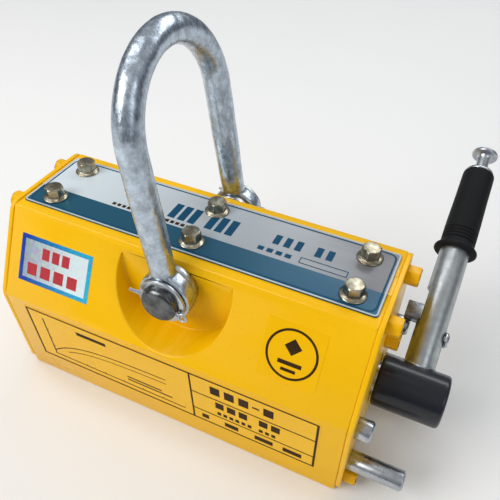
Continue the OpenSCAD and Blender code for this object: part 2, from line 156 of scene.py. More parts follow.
# sprayed enamel: two close tones, dust specks, orange peel and long ripples
def makeEnamel(name, look):
    material, nodes, links = startMaterial(name)
    colourFrame = nodes.new("NodeFrame")
    colourFrame.label = "enamel tones and dust"
    skinFrame = nodes.new("NodeFrame")
    skinFrame.label = "orange peel and gloss"
    place = nodes.new("ShaderNodeTexCoord")
    place.label = "place on the body"
    patches = nodes.new("ShaderNodeTexNoise")
    patches.label = "thick and thin coat"
    tone = nodes.new("ShaderNodeMix")
    tone.label = "thin coat is darker"
    dust = nodes.new("ShaderNodeTexNoise")
    dust.label = "dust in the coat"
    dustOnly = nodes.new("ShaderNodeMapRange")
    dustOnly.label = "only a few specks"
    colour = nodes.new("ShaderNodeMix")
    colour.label = "specks over enamel"
    peel = nodes.new("ShaderNodeTexNoise")
    peel.label = "orange peel"
    ripple = nodes.new("ShaderNodeTexNoise")
    ripple.label = "long ripples of the steel"
    gloss = nodes.new("ShaderNodeMapRange")
    gloss.label = "uneven gloss"
    peelBump = nodes.new("ShaderNodeBump")
    peelBump.label = "peel relief"
    rippleBump = nodes.new("ShaderNodeBump")
    rippleBump.label = "ripple relief"
    surface = nodes.new("ShaderNodeBsdfPrincipled")
    surface.label = "enamel"
    output = nodes.new("ShaderNodeOutputMaterial")
    output.label = "output"
    for node, parent, x, y in (
            (place, None, -1100, 0), (patches, colourFrame, -850, 350), (tone, colourFrame, -600, 350),
            (dust, colourFrame, -850, 100), (dustOnly, colourFrame, -600, 100),
            (colour, colourFrame, -350, 250), (peel, skinFrame, -850, -200),
            (ripple, skinFrame, -850, -450), (gloss, skinFrame, -600, -150),
            (rippleBump, skinFrame, -600, -450), (peelBump, skinFrame, -350, -350),
            (surface, None, 0, 0), (output, None, 300, 0)):
        node.parent = parent
        node.location = (x, y)
    patches.inputs["Scale"].default_value = look["patchScale"]
    patches.inputs["Detail"].default_value = 4
    tone.data_type = "RGBA"
    tone.inputs["A"].default_value = (*look["dark"], 1)
    tone.inputs["B"].default_value = (*look["colour"], 1)
    dust.inputs["Scale"].default_value = 1400
    dustOnly.inputs["From Min"].default_value = 0.7
    dustOnly.inputs["From Max"].default_value = 0.78
    dustOnly.inputs["To Max"].default_value = look["dust"]
    colour.data_type = "RGBA"
    colour.inputs["B"].default_value = (*look["dustColour"], 1)
    peel.inputs["Scale"].default_value = look["peelScale"]
    peel.inputs["Detail"].default_value = 2
    ripple.inputs["Scale"].default_value = look["rippleScale"]
    ripple.inputs["Detail"].default_value = 1
    gloss.inputs["From Min"].default_value = 0.3
    gloss.inputs["From Max"].default_value = 0.7
    gloss.inputs["To Min"].default_value = look["roughness"] - 0.05
    gloss.inputs["To Max"].default_value = look["roughness"] + 0.08
    peelBump.inputs["Strength"].default_value = look["peel"]
    peelBump.inputs["Distance"].default_value = 0.0001
    rippleBump.inputs["Strength"].default_value = look["ripple"]
    rippleBump.inputs["Distance"].default_value = 0.001
    surface.inputs["Specular IOR Level"].default_value = look["specular"]
    surface.inputs["Coat Weight"].default_value = look["coat"]
    surface.inputs["Coat Roughness"].default_value = 0.08
    links.new(place.outputs["Object"], patches.inputs["Vector"])
    links.new(place.outputs["Object"], dust.inputs["Vector"])
    links.new(place.outputs["Object"], peel.inputs["Vector"])
    links.new(place.outputs["Object"], ripple.inputs["Vector"])
    links.new(patches.outputs["Fac"], tone.inputs["Factor"])
    links.new(patches.outputs["Fac"], gloss.inputs["Value"])
    links.new(dust.outputs["Fac"], dustOnly.inputs["Value"])
    links.new(dustOnly.outputs["Result"], colour.inputs["Factor"])
    links.new(tone.outputs["Result"], colour.inputs["A"])
    links.new(colour.outputs["Result"], surface.inputs["Base Color"])
    links.new(gloss.outputs["Result"], surface.inputs["Roughness"])
    links.new(ripple.outputs["Fac"], rippleBump.inputs["Height"])
    links.new(rippleBump.outputs["Normal"], peelBump.inputs["Normal"])
    links.new(peel.outputs["Fac"], peelBump.inputs["Height"])
    links.new(peelBump.outputs["Normal"], surface.inputs["Normal"])
    links.new(surface.outputs["BSDF"], output.inputs["Surface"])
    return material


# bare or plated metal: mottled tone, tool grain along one direction, wavy relief
def makeMetal(name, look):
    material, nodes, links = startMaterial(name)
    toneFrame = nodes.new("NodeFrame")
    toneFrame.label = "plating tone and stains"
    grainFrame = nodes.new("NodeFrame")
    grainFrame.label = "tool grain and waves"
    place = nodes.new("ShaderNodeTexCoord")
    place.label = "place on the piece"
    mottle = nodes.new("ShaderNodeTexNoise")
    mottle.label = "mottled plating"
    contrast = nodes.new("ShaderNodeMapRange")
    contrast.label = "mottle contrast"
    tone = nodes.new("ShaderNodeMix")
    tone.label = "bright and dull plating"
    stain = nodes.new("ShaderNodeTexVoronoi")
    stain.label = "zinc flowers"
    stainOnly = nodes.new("ShaderNodeMapRange")
    stainOnly.label = "stain strength"
    colour = nodes.new("ShaderNodeMix")
    colour.label = "stains over plating"
    grainPlace = nodes.new("ShaderNodeMapping")
    grainPlace.label = "grain direction"
    grain = nodes.new("ShaderNodeTexNoise")
    grain.label = "tool grain"
    wave = nodes.new("ShaderNodeTexNoise")
    wave.label = "hammered waves"
    rough = nodes.new("ShaderNodeMapRange")
    rough.label = "grain roughness"
    waveBump = nodes.new("ShaderNodeBump")
    waveBump.label = "wave relief"
    grainBump = nodes.new("ShaderNodeBump")
    grainBump.label = "grain relief"
    surface = nodes.new("ShaderNodeBsdfPrincipled")
    surface.label = "metal"
    output = nodes.new("ShaderNodeOutputMaterial")
    output.label = "output"
    for node, parent, x, y in (
            (place, None, -1300, 0), (mottle, toneFrame, -1050, 400), (contrast, toneFrame, -800, 400),
            (tone, toneFrame, -550, 400), (stain, toneFrame, -1050, 120),
            (stainOnly, toneFrame, -800, 120), (colour, toneFrame, -300, 300),
            (grainPlace, grainFrame, -1050, -200), (grain, grainFrame, -800, -200),
            (rough, grainFrame, -550, -120), (wave, grainFrame, -800, -500),
            (waveBump, grainFrame, -550, -500), (grainBump, grainFrame, -300, -350),
            (surface, None, 0, 0), (output, None, 300, 0)):
        node.parent = parent
        node.location = (x, y)
    mottle.inputs["Scale"].default_value = look["mottleScale"]
    mottle.inputs["Detail"].default_value = 6
    contrast.inputs["From Min"].default_value = 0.36
    contrast.inputs["From Max"].default_value = 0.64
    tone.data_type = "RGBA"
    tone.inputs["A"].default_value = (*look["dark"], 1)
    tone.inputs["B"].default_value = (*look["bright"], 1)
    stain.inputs["Scale"].default_value = look["mottleScale"] * 2.3
    stainOnly.inputs["From Min"].default_value = 0.25
    stainOnly.inputs["From Max"].default_value = 0.75
    stainOnly.inputs["To Max"].default_value = look["stain"]
    colour.data_type = "RGBA"
    colour.inputs["B"].default_value = (*look["stainColour"], 1)
    grainPlace.inputs["Rotation"].default_value = look["grainTurn"]
    grainPlace.inputs["Scale"].default_value = look["grain"]
    grain.inputs["Scale"].default_value = 1
    grain.inputs["Detail"].default_value = 3
    wave.inputs["Scale"].default_value = look["waveScale"]
    wave.inputs["Detail"].default_value = 1.5
    rough.inputs["From Min"].default_value = 0.3
    rough.inputs["From Max"].default_value = 0.7
    rough.inputs["To Min"].default_value = look["roughness"] - look["roughSpread"]
    rough.inputs["To Max"].default_value = look["roughness"] + look["roughSpread"]
    waveBump.inputs["Strength"].default_value = look["wave"]
    waveBump.inputs["Distance"].default_value = 0.001
    grainBump.inputs["Strength"].default_value = look["relief"]
    grainBump.inputs["Distance"].default_value = 0.0001
    surface.inputs["Metallic"].default_value = look["metallic"]
    links.new(place.outputs["Object"], mottle.inputs["Vector"])
    links.new(place.outputs["Object"], stain.inputs["Vector"])
    links.new(place.outputs["Object"], wave.inputs["Vector"])
    links.new(place.outputs["Object"], grainPlace.inputs["Vector"])
    links.new(grainPlace.outputs["Vector"], grain.inputs["Vector"])
    links.new(mottle.outputs["Fac"], contrast.inputs["Value"])
    links.new(contrast.outputs["Result"], tone.inputs["Factor"])
    links.new(stain.outputs["Distance"], stainOnly.inputs["Value"])
    links.new(stainOnly.outputs["Result"], colour.inputs["Factor"])
    links.new(tone.outputs["Result"], colour.inputs["A"])
    links.new(colour.outputs["Result"], surface.inputs["Base Color"])
    links.new(grain.outputs["Fac"], rough.inputs["Value"])
    links.new(rough.outputs["Result"], surface.inputs["Roughness"])
    links.new(wave.outputs["Fac"], waveBump.inputs["Height"])
    links.new(waveBump.outputs["Normal"], grainBump.inputs["Normal"])
    links.new(grain.outputs["Fac"], grainBump.inputs["Height"])
    links.new(grainBump.outputs["Normal"], surface.inputs["Normal"])
    links.new(surface.outputs["BSDF"], output.inputs["Surface"])
    return material


# rubber, printing ink and the floor: a dull skin with fine grain and faint patches
def makeDull(name, look):
    material, nodes, links = startMaterial(name)
    toneFrame = nodes.new("NodeFrame")
    toneFrame.label = "tone"
    skinFrame = nodes.new("NodeFrame")
    skinFrame.label = "skin"
    place = nodes.new("ShaderNodeTexCoord")
    place.label = "place on the piece"
    patches = nodes.new("ShaderNodeTexNoise")
    patches.label = "faint patches"
    tone = nodes.new("ShaderNodeMix")
    tone.label = "tone"
    skin = nodes.new("ShaderNodeTexNoise")
    skin.label = "fine grain"
    rough = nodes.new("ShaderNodeMapRange")
    rough.label = "sheen changes"
    relief = nodes.new("ShaderNodeBump")
    relief.label = "grain relief"
    surface = nodes.new("ShaderNodeBsdfPrincipled")
    surface.label = "dull skin"
    output = nodes.new("ShaderNodeOutputMaterial")
    output.label = "output"
    for node, parent, x, y in (
            (place, None, -900, 0), (patches, toneFrame, -650, 250), (tone, toneFrame, -350, 250),
            (skin, skinFrame, -650, -150), (rough, skinFrame, -350, -50),
            (relief, skinFrame, -350, -300), (surface, None, 0, 0), (output, None, 300, 0)):
        node.parent = parent
        node.location = (x, y)
    patches.inputs["Scale"].default_value = look["patchScale"]
    patches.inputs["Detail"].default_value = 4
    tone.data_type = "RGBA"
    tone.inputs["A"].default_value = (*look["dark"], 1)
    tone.inputs["B"].default_value = (*look["colour"], 1)
    skin.inputs["Scale"].default_value = look["grainScale"]
    skin.inputs["Detail"].default_value = 3
    rough.inputs["From Min"].default_value = 0.3
    rough.inputs["From Max"].default_value = 0.7
    rough.inputs["To Min"].default_value = look["roughness"] - 0.06
    rough.inputs["To Max"].default_value = look["roughness"] + 0.06
    relief.inputs["Strength"].default_value = look["relief"]
    relief.inputs["Distance"].default_value = 0.0001
    surface.inputs["Specular IOR Level"].default_value = look["specular"]
    links.new(place.outputs["Object"], patches.inputs["Vector"])
    links.new(place.outputs["Object"], skin.inputs["Vector"])
    links.new(patches.outputs["Fac"], tone.inputs["Factor"])
    links.new(tone.outputs["Result"], surface.inputs["Base Color"])
    links.new(skin.outputs["Fac"], rough.inputs["Value"])
    links.new(rough.outputs["Result"], surface.inputs["Roughness"])
    links.new(skin.outputs["Fac"], relief.inputs["Height"])
    links.new(relief.outputs["Normal"], surface.inputs["Normal"])
    links.new(surface.outputs["BSDF"], output.inputs["Surface"])
    return material


# printed aluminium: brushed silver with a coloured band along the front
def makeNameplate(name, look):
    material, nodes, links = startMaterial(name)
    printFrame = nodes.new("NodeFrame")
    printFrame.label = "silver and band"
    brushFrame = nodes.new("NodeFrame")
    brushFrame.label = "brushing"
    place = nodes.new("ShaderNodeTexCoord")
    place.label = "place on the plate"
    parts = nodes.new("ShaderNodeSeparateXYZ")
    parts.label = "along and across"
    along = nodes.new("ShaderNodeMapRange")
    along.label = "left to right"
    silver = nodes.new("ShaderNodeMix")
    silver.label = "silver side"
    blue = nodes.new("ShaderNodeMix")
    blue.label = "band side"
    across = nodes.new("ShaderNodeMapRange")
    across.label = "edge of the band"
    printed = nodes.new("ShaderNodeMix")
    printed.label = "silver or band"
    brushPlace = nodes.new("ShaderNodeMapping")
    brushPlace.label = "brushed along the plate"
    brush = nodes.new("ShaderNodeTexNoise")
    brush.label = "brush lines"
    rough = nodes.new("ShaderNodeMapRange")
    rough.label = "brushed sheen"
    relief = nodes.new("ShaderNodeBump")
    relief.label = "brush relief"
    surface = nodes.new("ShaderNodeBsdfPrincipled")
    surface.label = "printed aluminium"
    output = nodes.new("ShaderNodeOutputMaterial")
    output.label = "output"
    for node, parent, x, y in (
            (place, None, -1300, 0), (parts, printFrame, -1100, 300), (along, printFrame, -850, 450),
            (across, printFrame, -850, 150), (silver, printFrame, -600, 450),
            (blue, printFrame, -600, 200), (printed, printFrame, -350, 300),
            (brushPlace, brushFrame, -1100, -250), (brush, brushFrame, -850, -250),
            (rough, brushFrame, -600, -150), (relief, brushFrame, -600, -400), (surface, None, 0, 0),
            (output, None, 300, 0)):
        node.parent = parent
        node.location = (x, y)
    along.inputs["From Min"].default_value = -look["fade"] * mm
    along.inputs["From Max"].default_value = look["fade"] * mm
    across.inputs["From Min"].default_value = (look["bandY"] - look["bandSoft"]) * mm
    across.inputs["From Max"].default_value = (look["bandY"] + look["bandSoft"]) * mm
    for mix, first, last in ((silver, "silverLeft", "silverRight"), (blue, "bandLeft", "bandRight")):
        mix.data_type = "RGBA"
        mix.inputs["A"].default_value = (*look[first], 1)
        mix.inputs["B"].default_value = (*look[last], 1)
    printed.data_type = "RGBA"
    brushPlace.inputs["Scale"].default_value = look["brush"]
    brush.inputs["Scale"].default_value = 1
    brush.inputs["Detail"].default_value = 3
    rough.inputs["From Min"].default_value = 0.3
    rough.inputs["From Max"].default_value = 0.7
    rough.inputs["To Min"].default_value = look["roughness"] - 0.06
    rough.inputs["To Max"].default_value = look["roughness"] + 0.06
    relief.inputs["Strength"].default_value = look["relief"]
    relief.inputs["Distance"].default_value = 0.0001
    surface.inputs["Metallic"].default_value = look["metallic"]
    links.new(place.outputs["Object"], parts.inputs["Vector"])
    links.new(place.outputs["Object"], brushPlace.inputs["Vector"])
    links.new(parts.outputs["X"], along.inputs["Value"])
    links.new(parts.outputs["Y"], across.inputs["Value"])
    links.new(along.outputs["Result"], silver.inputs["Factor"])
    links.new(along.outputs["Result"], blue.inputs["Factor"])
    links.new(across.outputs["Result"], printed.inputs["Factor"])
    links.new(blue.outputs["Result"], printed.inputs["A"])
    links.new(silver.outputs["Result"], printed.inputs["B"])
    links.new(printed.outputs["Result"], surface.inputs["Base Color"])
    links.new(brushPlace.outputs["Vector"], brush.inputs["Vector"])
    links.new(brush.outputs["Fac"], rough.inputs["Value"])
    links.new(rough.outputs["Result"], surface.inputs["Roughness"])
    links.new(brush.outputs["Fac"], relief.inputs["Height"])
    links.new(relief.outputs["Normal"], surface.inputs["Normal"])
    links.new(surface.outputs["BSDF"], output.inputs["Surface"])
    return material


# glittering foil: two tones that run across the sticker and small shining facets
def makeFoil(name, look):
    material, nodes, links = startMaterial(name)
    sweepFrame = nodes.new("NodeFrame")
    sweepFrame.label = "sweep of colour"
    facetFrame = nodes.new("NodeFrame")
    facetFrame.label = "facets"
    place = nodes.new("ShaderNodeTexCoord")
    place.label = "place on the sticker"
    parts = nodes.new("ShaderNodeSeparateXYZ")
    parts.label = "along and up"
    sweep = nodes.new("ShaderNodeMapRange")
    sweep.label = "left to right"
    tone = nodes.new("ShaderNodeMix")
    tone.label = "sweep tone"
    facets = nodes.new("ShaderNodeTexVoronoi")
    facets.label = "pressed facets"
    glint = nodes.new("ShaderNodeMix")
    glint.label = "facet tints"
    relief = nodes.new("ShaderNodeBump")
    relief.label = "facet relief"
    surface = nodes.new("ShaderNodeBsdfPrincipled")
    surface.label = "foil"
    output = nodes.new("ShaderNodeOutputMaterial")
    output.label = "output"
    for node, parent, x, y in (
            (place, None, -1100, 0), (parts, sweepFrame, -900, 250), (sweep, sweepFrame, -700, 250),
            (tone, sweepFrame, -450, 250), (facets, facetFrame, -700, -150),
            (glint, facetFrame, -250, 150), (relief, facetFrame, -250, -250), (surface, None, 0, 0),
            (output, None, 300, 0)):
        node.parent = parent
        node.location = (x, y)
    sweep.inputs["From Min"].default_value = look["from"] * mm
    sweep.inputs["From Max"].default_value = look["to"] * mm
    tone.data_type = "RGBA"
    tone.inputs["A"].default_value = (*look["left"], 1)
    tone.inputs["B"].default_value = (*look["right"], 1)
    facets.inputs["Scale"].default_value = look["facetScale"]
    glint.data_type = "RGBA"
    glint.blend_type = "SOFT_LIGHT"
    glint.inputs["Factor"].default_value = look["glint"]
    relief.inputs["Strength"].default_value = 0.25
    relief.inputs["Distance"].default_value = 0.0001
    surface.inputs["Metallic"].default_value = look["metallic"]
    surface.inputs["Roughness"].default_value = look["roughness"]
    links.new(place.outputs["Object"], parts.inputs["Vector"])
    links.new(place.outputs["Object"], facets.inputs["Vector"])
    links.new(parts.outputs["X"], sweep.inputs["Value"])
    links.new(sweep.outputs["Result"], tone.inputs["Factor"])
    links.new(tone.outputs["Result"], glint.inputs["A"])
    links.new(facets.outputs["Color"], glint.inputs["B"])
    links.new(glint.outputs["Result"], surface.inputs["Base Color"])
    links.new(facets.outputs["Distance"], relief.inputs["Height"])
    links.new(relief.outputs["Normal"], surface.inputs["Normal"])
    links.new(surface.outputs["BSDF"], output.inputs["Surface"])
    return material


enamelLook = {"colour": (0.9, 0.515, 0.0006), "dark": (0.84, 0.44, 0.0005), "patchScale": 28,
              "dust": 0.5, "dustColour": (0.35, 0.16, 0.01), "peelScale": 900, "peel": 0.22,
              "rippleScale": 70, "ripple": 0.06, "roughness": 0.3, "coat": 0.14,
              "specular": 0.16}
steelLook = {"bright": (0.54, 0.57, 0.6), "dark": (0.4, 0.425, 0.455), "mottleScale": 90,
             "stain": 0.12, "stainColour": (0.36, 0.4, 0.47), "grain": (500, 500, 500),
             "grainTurn": (0, 0, 0),
             "waveScale": 110, "wave": 0.04, "relief": 0.15, "roughness": 0.27,
             "roughSpread": 0.07, "metallic": 1.0}
dullLook = {"colour": (0.011, 0.012, 0.013), "dark": (0.006, 0.0065, 0.007), "patchScale": 120,
            "grainScale": 1600, "relief": 0.35, "roughness": 0.6, "specular": 0.13}
materials = {
    "enamel": makeEnamel("yellow_enamel", enamelLook),
    "enamelBolt": makeEnamel("painted_bolts", {**enamelLook, "dark": (0.7, 0.33, 0.004), "peel": 0.3}),
    "labelFilm": makeEnamel("label_film", {
        **enamelLook, "colour": (0.92, 0.53, 0.0006), "peel": 0.08, "dust": 0.2, "roughness": 0.24}),
    "hubBlack": makeEnamel("hub_black", {
        **enamelLook, "colour": (0.009, 0.012, 0.022), "dark": (0.005, 0.007, 0.012), "dust": 0.25,
        "coat": 0.3, "specular": 0.3, "dustColour": (0.12, 0.12, 0.13), "roughness": 0.32}),
    "shackleZinc": makeMetal("galvanised_rod", {
        **steelLook, "bright": (0.56, 0.66, 0.76), "dark": (0.37, 0.43, 0.5), "mottleScale": 420,
        # the rod's brownish stains, laid at random, are zinc stains in part and in part a painted
        # reflection of the yellow body and painted shade on the rod's inner and under sides
        "stain": 0.22, "stainColour": (0.3, 0.27, 0.25), "grain": (1500, 1500, 420), "waveScale": 190,
        "wave": 0.42, "relief": 0.42, "roughness": 0.31, "roughSpread": 0.1}),
    "tubeZinc": makeMetal("tube_zinc", {
        **steelLook, "grainTurn": (math.radians(handleShape["lean"]), 0, 0),
        "bright": (0.5, 0.53, 0.53), "dark": (0.4, 0.43, 0.44), "mottleScale": 420,
        "grain": (1100, 1100, 120), "wave": 0.03, "relief": 0.12, "roughness": 0.4}),
    "turnedSteel": makeMetal("turned_steel", {
        **steelLook, "grain": (420, 200, 200), "relief": 0.04, "mottleScale": 300, "roughness": 0.3,
        "stain": 0.08}),
    "pinSteel": makeMetal("pin_steel", {
        **steelLook, "bright": (0.13, 0.135, 0.135), "dark": (0.05, 0.055, 0.055), "relief": 0.06,
        "mottleScale": 260, "roughness": 0.24}),
    "darkSteel": makeMetal("dark_steel", {
        **steelLook, "bright": (0.27, 0.28, 0.29), "dark": (0.13, 0.14, 0.15), "relief": 0.08,
        "mottleScale": 240, "roughness": 0.28}),
    "boltNickel": makeMetal("bolt_nickel", {
        **steelLook, "bright": (0.52, 0.5, 0.39), "dark": (0.25, 0.22, 0.15), "mottleScale": 330,
        "stainColour": (0.17, 0.11, 0.07), "stain": 0.35, "relief": 0.08, "roughness": 0.3}),
    "bushBronze": makeMetal("bush_bronze", {
        **steelLook, "bright": (0.72, 0.45, 0.2), "dark": (0.5, 0.3, 0.13),
        "stainColour": (0.3, 0.2, 0.1)}),
    "coreSteel": makeMetal("core_steel", {
        **steelLook, "bright": (0.5, 0.51, 0.53), "dark": (0.3, 0.31, 0.33), "roughness": 0.4}),
    "magnetGrey": makeMetal("sintered_magnet", {
        **steelLook, "bright": (0.24, 0.25, 0.27), "dark": (0.12, 0.125, 0.13), "roughness": 0.5}),
    "castAluminium": makeMetal("bearing_aluminium", {
        **steelLook, "bright": (0.72, 0.72, 0.73), "dark": (0.5, 0.5, 0.52), "roughness": 0.38}),
    "spacerBrass": makeMetal("spacer_brass", {
        **steelLook, "bright": (0.8, 0.6, 0.25), "dark": (0.55, 0.4, 0.15), "grain": (80, 1500, 80)}),
    "gripRubber": makeDull("grip_rubber", dullLook),
    "inkBrown": makeDull("ink_brown", {
        **dullLook, "colour": (0.05, 0.022, 0.004), "dark": (0.025, 0.011, 0.002), "roughness": 0.6}),
    "inkBlue": makeDull("ink_blue", {
        **dullLook, "colour": (0.006, 0.075, 0.15), "dark": (0.003, 0.05, 0.11), "roughness": 0.5}),
    "inkSilver": makeDull("ink_silver", {
        **dullLook, "colour": (0.55, 0.6, 0.62), "dark": (0.4, 0.44, 0.46), "roughness": 0.4}),
    "inkRed": makeDull("ink_red", {
        **dullLook, "colour": (0.5, 0.045, 0.05), "dark": (0.36, 0.03, 0.045), "roughness": 0.4}),
    "floorPale": makeDull("floor_pale", {
        **dullLook, "colour": (0.86, 0.86, 0.85), "dark": (0.82, 0.82, 0.815), "patchScale": 6,
        "grainScale": 400, "relief": 0.05, "roughness": 0.7, "specular": 0.3}),
    "nameplate": makeNameplate("printed_plate", {
        "bandY": -4.6, "bandSoft": 0.06, "fade": 55, "brush": (60, 2600, 60), "relief": 0.12,
        "silverLeft": (0.74, 0.83, 0.88), "silverRight": (0.15, 0.15, 0.16),
        "bandLeft": (0.004, 0.085, 0.145), "bandRight": (0.001, 0.07, 0.135), "roughness": 0.36,
        "metallic": 0.25}),
    "foilField": makeFoil("foil_field", {
        "from": -56, "to": -36, "left": (0.36, 0.42, 0.5), "right": (0.8, 0.92, 0.95), "glint": 0.35,
        "facetScale": 900, "roughness": 0.28, "metallic": 0.35}),
    "foilBorder": makeFoil("foil_border", {
        "from": -55, "to": -29, "left": (0.01, 0.06, 0.42), "right": (0.03, 0.5, 0.75), "glint": 0.3,
        "facetScale": 900, "roughness": 0.25, "metallic": 0.3}),
}
print("materials made:", len(materials))


# shared ways of making a piece
def addObject(name, data):
    piece = bpy.data.objects.new(name, data)
    scene.collection.objects.link(piece)
    return piece


def setPiece(piece, material, body, slot, *nodes):
    piece.data.materials.clear()
    piece.data.materials.append(materials[material])
    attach(piece, body)
    if nodes:
        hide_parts(*nodes)
    return piece


# a new object with the helper's finished mesh in its place; the helper goes
def solidFrom(helper, name, place, sharpAngle=32):
    bpy.context.view_layer.update()
    graph = bpy.context.evaluated_depsgraph_get()
    mesh = bpy.data.meshes.new_from_object(helper.evaluated_get(graph))
    shape = bmesh.new()
    shape.from_mesh(mesh)
    bmesh.ops.remove_doubles(shape, verts=shape.verts, dist=mergeGap)
    for face in shape.faces:
        face.smooth = True
    shape.to_mesh(mesh)
    shape.free()
    mesh.set_sharp_from_angle(angle=math.radians(sharpAngle))
    mesh.transform(place)
    bpy.data.objects.remove(helper)
    return addObject(name, mesh)


# rounds the corners of an outline of [across, up] points, in mm
def softened(points, radius, closed=True, steps=4):
    count = len(points)
    result = []
    for index, corner in enumerate(points):
        if not closed and index in (0, count - 1):
            result.append(tuple(corner))
            continue
        here = Vector(corner)
        before, after = Vector(points[index - 1]) - here, Vector(points[(index + 1) % count]) - here
        reach = min(radius, before.length * 0.45, after.length * 0.45)  # never to the middle of a side
        start, end = here + before.normalized() * reach, here + after.normalized() * reach
        for step in range(steps + 1):
            t = step / steps
            result.append(tuple(start * (1 - t) ** 2 + here * 2 * t * (1 - t) + end * t * t))
    return result


def circle(across, height, radius, steps=64):
    turns = [2 * math.pi * step / steps for step in range(steps)]
    return [(across + radius * math.cos(turn), height + radius * math.sin(turn)) for turn in turns]


# a rectangle from its lower left and upper right corners, in mm, drawn in by inset
def bar(left, bottom, rightEdge, top, inset=0):
    left, bottom, rightEdge, top = left + inset, bottom + inset, rightEdge - inset, top - inset
    return [(left, bottom), (rightEdge, bottom), (rightEdge, top), (left, top)]


# a turned shape: the outline runs from top to bottom, as [radius, height] in mm
def turnedPiece(name, outline, place, steps=72, sharpAngle=32):
    mesh = bpy.data.meshes.new(name)
    mesh.from_pydata([(radius * mm, 0, height * mm) for radius, height in outline],
                     [(index, index + 1) for index in range(len(outline) - 1)], [])
    helper = addObject(name + "_profile", mesh)
    screw = helper.modifiers.new("turn", "SCREW")
    screw.steps = screw.render_steps = steps
    screw.use_merge_vertices = True
    screw.merge_threshold = mergeGap
    return solidFrom(helper, name, place, sharpAngle)


# a flat plate from closed outlines of [across, up] points, in mm, with softened edges
def flatPiece(name, outlines, thickness, edge, place):
    curve = bpy.data.curves.new(name, "CURVE")
    curve.dimensions = "2D"
    curve.fill_mode = "BOTH"
    curve.extrude = (thickness / 2 - edge) * mm
    curve.bevel_depth = edge * mm
    curve.bevel_resolution = 2
    curve.offset = -edge * mm
    for outline in outlines:
        spline = curve.splines.new("POLY")
        spline.points.add(len(outline) - 1)
        for point, (across, height) in zip(spline.points, outline):
            point.co = (across * mm, height * mm, 0, 1)
        spline.use_cyclic_u = True
    return solidFrom(addObject(name + "_outline", curve), name, place)


# a round wire through points in mm; swell gives each point's thickness, where it changes
def wirePiece(name, points, radius, place, roundness=3, closed=False, swell=(), sharpAngle=60):
    curve = bpy.data.curves.new(name, "CURVE")
    curve.dimensions = "3D"
    curve.bevel_depth = radius * mm
    curve.bevel_resolution = roundness
    curve.use_fill_caps = not closed
    spline = curve.splines.new("POLY")
    spline.points.add(len(points) - 1)
    spline.use_cyclic_u = closed
    for point, spot in zip(spline.points, points):
        point.co = (*(value * mm for value in spot), 1)
    for point, size in zip(spline.points, swell):
        point.radius = size
    return solidFrom(addObject(name + "_path", curve), name, place, sharpAngle)


# quads from each ring of corners to the next
def joinRings(shape, rings):
    for first, second in zip(rings, rings[1:]):
        for index in range(len(first)):
            after = (index + 1) % len(first)
            shape.faces.new((first[index], first[after], second[after], second[index]))


# the CAD node's own shape, merged and with its edges broken
def edgedCopy(node, edge, material, body, slot):
    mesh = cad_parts[node].data.copy()
    shape = bmesh.new()
    shape.from_mesh(mesh)
    bmesh.ops.remove_doubles(shape, verts=shape.verts, dist=0.01 * mm)  # joins the loose triangles
    bmesh.ops.dissolve_limit(shape, angle_limit=math.radians(1), verts=shape.verts, edges=shape.edges)
    for face in shape.faces:
        face.smooth = True
    shape.to_mesh(mesh)
    shape.free()
    piece = addObject(node + "_edged", mesh)
    bevel = piece.modifiers.new("broken edges", "BEVEL")
    bevel.width = edge * mm
    bevel.segments = 2
    bevel.limit_method = "ANGLE"
    bevel.angle_limit = math.radians(25)
    bevel.use_clamp_overlap = False
    bevel.harden_normals = True
    return setPiece(piece, material, body, slot, node)


# the CAD nodes that stay, each with its finish
stayingNodes = {
    "enamel": ("top_spacer",), "spacerBrass": ("bottom_spacer",),
    "magnetGrey": ("fixed_magnet", "rotor_magnets"),
    "castAluminium": ("bearing_disc_left", "bearing_disc_right"),
    "bushBronze": ("bush_left", "bush_right"),
    "coreSteel": ("rotor_core", "rotor_sleeve"), "turnedSteel": ("rotor_shaft",),
    "labelFilm": ("load_label", "pictogram_label"),
}
for finish, names in stayingNodes.items():
    for name in names:
        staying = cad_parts[name].data
        staying.materials.clear()
        staying.materials.append(materials[finish])

# pieces that keep the frame's shape, with edges broken by this many mm
edged = {
    "pole_front": (0.5, "enamel", "body", "paint_yellow"),
    "pole_rear": (0.5, "enamel", "body", "paint_yellow"),
    "plate_bolts_left": (0.22, "enamelBolt", "body", "paint_yellow"),
    "plate_bolts_right": (0.22, "enamelBolt", "body", "paint_yellow"),
    "nameplate_bolts": (0.14, "boltNickel", "body", "zinc_bolt"),
    "latch_pins": (0.12, "turnedSteel", "body", "zinc_steel"),
    "stop_pins": (0.12, "turnedSteel", "body", "zinc_steel"),
    "pivot_pins": (0.12, "pinSteel", "body", "zinc_steel"),
    "spacer_collars": (0.2, "turnedSteel", "body", "zinc_steel"),
    "pivot_washers": (0.16, "turnedSteel", "body", "zinc_steel"),
    "handle_tube": (0.15, "tubeZinc", "handle", "zinc_steel"),
    "cross_screw": (0.12, "turnedSteel", "handle", "zinc_steel"),
    "latch_key": (0.2, "darkSteel", "latch", "zinc_steel"),
}
for node, (edge, finish, body, slot) in edged.items():
    edgedCopy(node, edge, finish, body, slot)
print("frame shapes finished")

